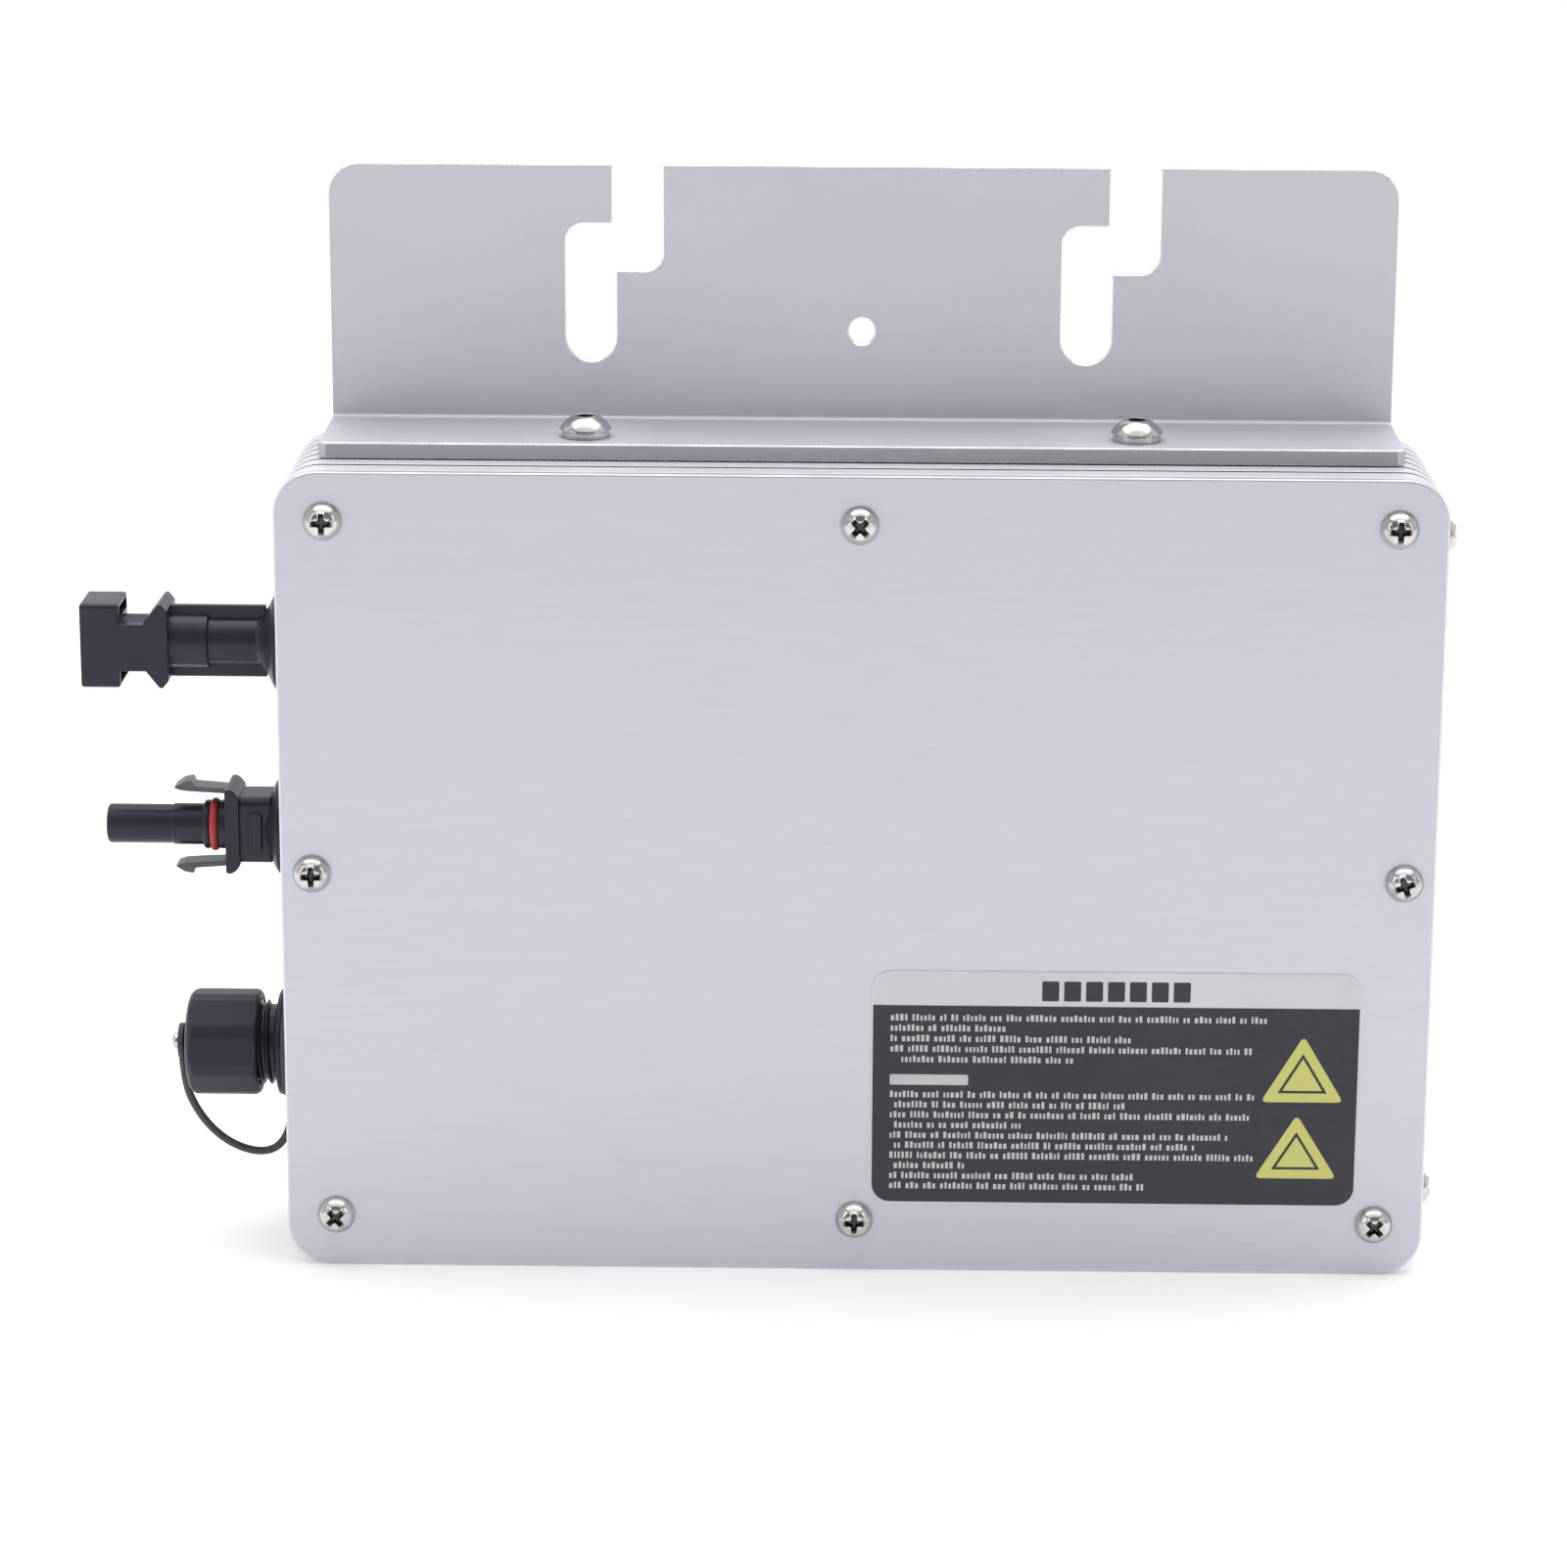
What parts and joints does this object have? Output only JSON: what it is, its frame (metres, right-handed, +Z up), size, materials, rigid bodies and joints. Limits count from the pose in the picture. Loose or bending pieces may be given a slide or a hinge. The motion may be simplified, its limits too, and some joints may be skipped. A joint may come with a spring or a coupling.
{
  "type": "micro inverter",
  "caption": "Flat aluminium micro inverter with grooved edges, hanging bracket with hook slots, screwed covers, DC connectors and a capped AC socket.",
  "frame": {"origin": "middle of the housing's bottom face", "axes": "+X along the width away from the connectors, +Y from the front cover to the rear cover, +Z up towards the bracket"},
  "size_m": [0.25, 0.045, 0.2],
  "materials": {
    "brushed_plate": "brushed along its width",
    "anodised_frame": "matt anodised, grooved",
    "anodised_bracket": "matt anodised",
    "bright_screw": "stainless, satin",
    "spring_steel": "plated steel",
    "label_foil": "printed foil, satin",
    "black_shell": "moulded, satin",
    "black_cap": "moulded, satin",
    "black_nut": "moulded",
    "tinned_contact": "tinned",
    "red_rubber": "smooth",
    "black_rubber": "smooth",
    "green_board": "solder resist",
    "brass_post": "turned",
    "grey_ferrite": "sintered",
    "copper_winding": "enamelled copper",
    "capacitor_can": "sleeved can",
    "film_box": "moulded box",
    "relay_case": "moulded case",
    "fuse_glass": "clear",
    "black_package": "moulded",
    "green_terminal": "moulded",
    "black_wire": "insulated",
    "red_wire": "insulated",
    "aluminium_bar": "extruded",
    "grey_pad": "silicone"
  },
  "bodies": {
    "housing": {"ac_contact_pins": "tinned_contact", "ac_insert": "black_shell", "ac_leads": "black_wire", "ac_panel_gasket": "black_rubber", "ac_panel_nut": "black_nut", "ac_socket_body": "black_shell", "board_screws": "spring_steel", "board_standoffs": "brass_post", "bracket_screws": "bright_screw", "bracket_spring_washers": "spring_steel", "choke_core": "grey_ferrite", "choke_winding": "copper_winding", "clamp_screws": "spring_steel", "control_board": "green_board", "control_chip": "black_package", "control_header": "black_package", "dc_lead_negative": "black_wire", "dc_lead_positive": "red_wire", "earth_lug": "spring_steel", "earth_screw": "spring_steel", "film_capacitors": "film_box", "front_cover": "brushed_plate", "front_cover_screws": "bright_screw", "front_gasket": "black_rubber", "fuse": "fuse_glass", "fuse_clips": "spring_steel", "heat_spreader": "aluminium_bar", "housing_ring": "anodised_frame", "info_label": "label_foil", "input_capacitors": "capacitor_can", "lower_dc_contact": "tinned_contact", "lower_dc_nut": "black_nut", "lower_dc_oring": "red_rubber", "lower_dc_seal": "black_rubber", "lower_dc_shell": "black_shell", "main_board": "green_board", "mounting_bracket": "anodised_bracket", "output_relays": "relay_case", "power_transistors": "black_package", "rear_cover": "brushed_plate", "rear_cover_screws": "bright_screw", "rear_gasket": "black_rubber", "side_screws": "bright_screw", "terminal_block": "green_terminal", "tether_cord": "black_rubber", "tether_ring": "black_rubber", "thermal_pad": "grey_pad", "transformer_cores": "grey_ferrite", "transformer_windings": "copper_winding", "transistor_clamp": "spring_steel", "upper_dc_contact": "tinned_contact", "upper_dc_nut": "black_nut", "upper_dc_seal": "black_rubber", "upper_dc_shell": "black_shell"},
    "latch_upper": {"latch_finger_upper": "black_shell"},
    "latch_lower": {"latch_finger_lower": "black_shell"},
    "tether_end": {"tether_eyelet": "black_rubber"},
    "cap": {"ac_cap": "black_cap", "cap_seal": "black_rubber", "cap_swivel_screw": "bright_screw"}
  },
  "joints": [
    {"name": "latch_upper_bend", "type": "hinge", "parent": "housing", "child": "latch_upper", "pos_m": [-0.116, 0, 0.08605], "axis": [0, -1, 0], "range_deg": [0, 8], "stiffness_Nm_per_rad": 0.3},
    {"name": "latch_lower_bend", "type": "hinge", "parent": "housing", "child": "latch_lower", "pos_m": [-0.116, 0, 0.07235], "axis": [0, 1, 0], "range_deg": [0, 8], "stiffness_Nm_per_rad": 0.3},
    {"name": "cap_travel", "type": "slide", "parent": "housing", "child": "tether_end", "axis": [-1, 0, 0], "range_m": [0, 0.012], "deforming": ["tether_cord"]},
    {"name": "cap_turn", "type": "hinge", "parent": "tether_end", "child": "cap", "pos_m": [-0.117, 0, 0.0368], "axis": [-1, 0, 0], "range_deg": [0, 2885]}
  ],
  "couplings": [
    {"joint": "cap_turn", "follows": "cap_travel", "rad_per_m": 4188.8}
  ]
}
